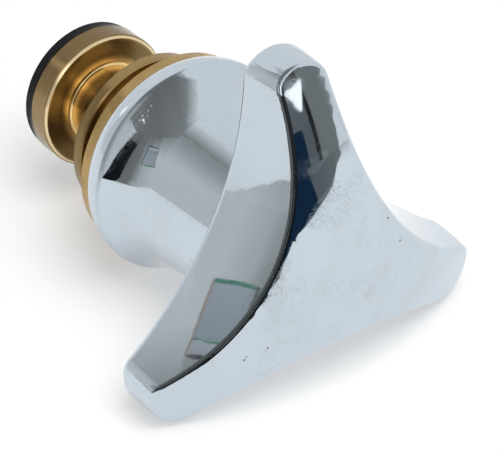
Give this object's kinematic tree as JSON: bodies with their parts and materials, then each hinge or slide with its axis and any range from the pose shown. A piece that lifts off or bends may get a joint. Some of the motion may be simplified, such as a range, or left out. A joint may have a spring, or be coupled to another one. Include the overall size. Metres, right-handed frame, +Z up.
{
  "type": "tap handle",
  "caption": "Push-on tap handle: domed lobed chrome head on a slim neck and bell, with a turned brass stem, splined spindle socket and black sealing ring.",
  "frame": {"origin": "on the spindle socket's axis, where the socket's plain wall starts just inside its mouth", "axes": "+Y along the handle's axis, out of the socket and away from the head, so the head faces -Y; +Z up along one lobe; +X to the right as seen from the front"},
  "size_m": [0.0612, 0.0687, 0.0545],
  "materials": {
    "chrome": "polished plating with fine scratches and a few pits",
    "brass": "fine turned, lightly tarnished",
    "rubber": "matt black"
  },
  "bodies": {
    "root": {"handle_body": "chrome", "brass_stem": "brass", "seal_ring": "rubber"}
  },
  "joints": []
}
